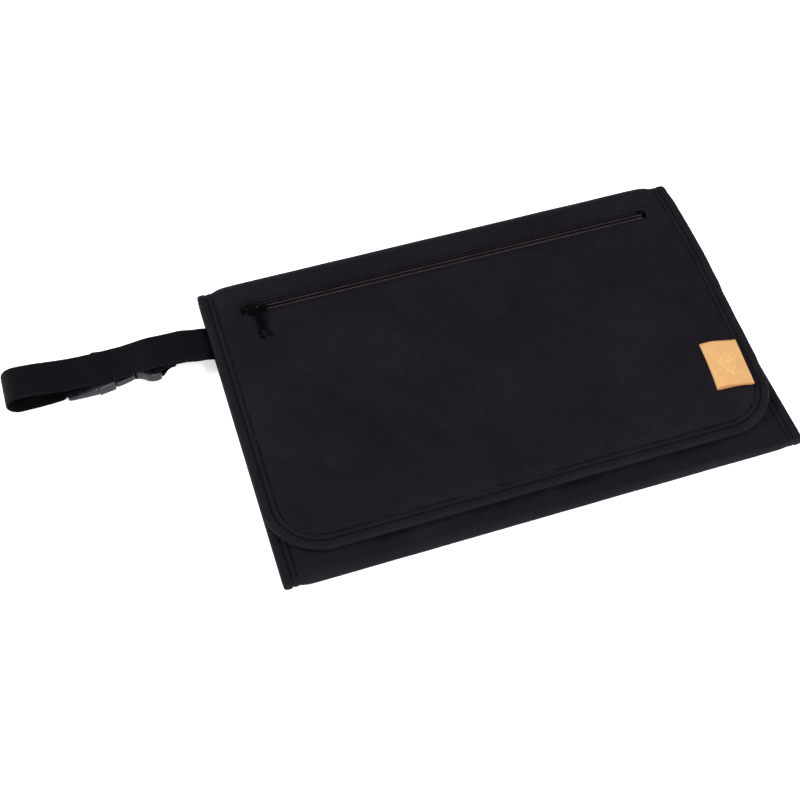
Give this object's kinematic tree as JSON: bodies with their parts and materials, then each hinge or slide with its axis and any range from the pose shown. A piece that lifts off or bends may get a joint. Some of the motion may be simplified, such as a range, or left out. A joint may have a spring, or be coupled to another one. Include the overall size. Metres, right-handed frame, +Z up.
{
  "type": "folding changing pouch",
  "caption": "Padded fabric mat folded flat into a pouch, with a rounded zip-pocket flap, bound edges, a small leather tab and a webbing wrist strap with a side-release buckle.",
  "frame": {"origin": "middle of the back panel's flat outer face, which lies on the surface", "axes": "+X along the long side, the strap leaves at -X; +Y towards the top fold; +Z up, away from the surface"},
  "size_m": [0.4671, 0.2256, 0.0192],
  "materials": {
    "fabric": "black plain-weave polyester with a faint violet cast, matt",
    "lining": "dark coated wipe-clean cloth, soft satin",
    "foam": "pale padding, matt",
    "binding": "black woven edge tape, matt, stitched",
    "zip_tape": "black woven tape, matt",
    "zip_coil": "dark nylon coil, glossy",
    "slider_metal": "gloss black lacquered metal",
    "leather": "natural tan leather, soft sheen",
    "webbing": "black herringbone webbing, slight sheen",
    "buckle_plastic": "black moulded acetal, satin",
    "hook_loop": "black hook and loop, matt"
  },
  "bodies": {
    "back": {"back_shell": "fabric", "back_foam": "foam", "back_lining": "lining", "back_binding_left": "binding", "back_binding_right": "binding", "strap_anchor_long": "webbing", "strap_anchor_short": "webbing", "top_fold_cloth": "fabric", "top_fold_binding_left": "binding", "top_fold_binding_right": "binding", "bottom_fold_cloth": "fabric", "bottom_fold_binding_left": "binding", "bottom_fold_binding_right": "binding"},
    "flap": {"flap_shell": "fabric", "flap_foam": "foam", "flap_lining": "lining", "flap_binding": "binding", "zip_tape_upper": "zip_tape", "zip_tape_lower": "zip_tape", "zip_coil_upper": "zip_coil", "zip_coil_lower": "zip_coil", "zip_stop_left": "zip_coil", "zip_stop_right": "zip_coil", "zip_pocket_bag": "lining", "leather_label": "leather", "closure_hook_patch": "hook_loop"},
    "lower": {"lower_shell": "fabric", "lower_foam": "foam", "lower_lining": "lining", "lower_binding": "binding", "closure_loop_patch": "hook_loop"},
    "slider": {"zip_slider": "slider_metal"},
    "puller": {"zip_puller": "slider_metal"},
    "strap": {"strap_upper_run": "webbing", "strap_end_loop": "webbing", "strap_short_webbing": "webbing", "buckle_female": "buckle_plastic"},
    "male": {"buckle_male": "buckle_plastic", "strap_lower_run": "webbing"},
    "prong_near": {"buckle_prong_near": "buckle_plastic"},
    "prong_far": {"buckle_prong_far": "buckle_plastic"}
  },
  "joints": [
    {"name": "flap_fold", "type": "hinge", "parent": "back", "child": "flap", "pos_m": [0, 0.10535, 0.00715], "axis": [-1, 0, 0], "range_deg": [0, 180], "deforming": ["top_fold_cloth", "top_fold_binding_left", "top_fold_binding_right"]},
    {"name": "lower_fold", "type": "hinge", "parent": "back", "child": "lower", "pos_m": [0, -0.1085, 0.004], "axis": [1, 0, 0], "range_deg": [0, 180], "deforming": ["bottom_fold_cloth", "bottom_fold_binding_left", "bottom_fold_binding_right"]},
    {"name": "zip_slide", "type": "slide", "parent": "flap", "child": "slider", "axis": [1, 0, 0], "range_m": [0, 0.268]},
    {"name": "puller_flip", "type": "hinge", "parent": "slider", "child": "puller", "pos_m": [-0.1317, 0.086, 0.0174], "axis": [-1, 0, 0], "range_deg": [0, 185]},
    {"name": "strap_fold", "type": "hinge", "parent": "back", "child": "strap", "pos_m": [-0.1715, 0.0733, 0.0077], "axis": [0, 1, 0], "range_deg": [0, 100]},
    {"name": "buckle_release", "type": "slide", "parent": "strap", "child": "male", "axis": [-1, 0, 0], "range_m": [0, 0.027], "deforming": ["strap_end_loop", "buckle_prong_near", "buckle_prong_far"]},
    {"name": "prong_near_press", "type": "hinge", "parent": "male", "child": "prong_near", "pos_m": [-0.242, 0.0613, 0.0043], "axis": [0, 0, 1], "range_deg": [0, 8], "stiffness_Nm_per_rad": 0.2},
    {"name": "prong_far_press", "type": "hinge", "parent": "male", "child": "prong_far", "pos_m": [-0.242, 0.0853, 0.0043], "axis": [0, 0, -1], "range_deg": [0, 8], "stiffness_Nm_per_rad": 0.2}
  ],
  "couplings": [
    {"joint": "lower_fold", "follows": "flap_fold", "ratio": 1}
  ]
}
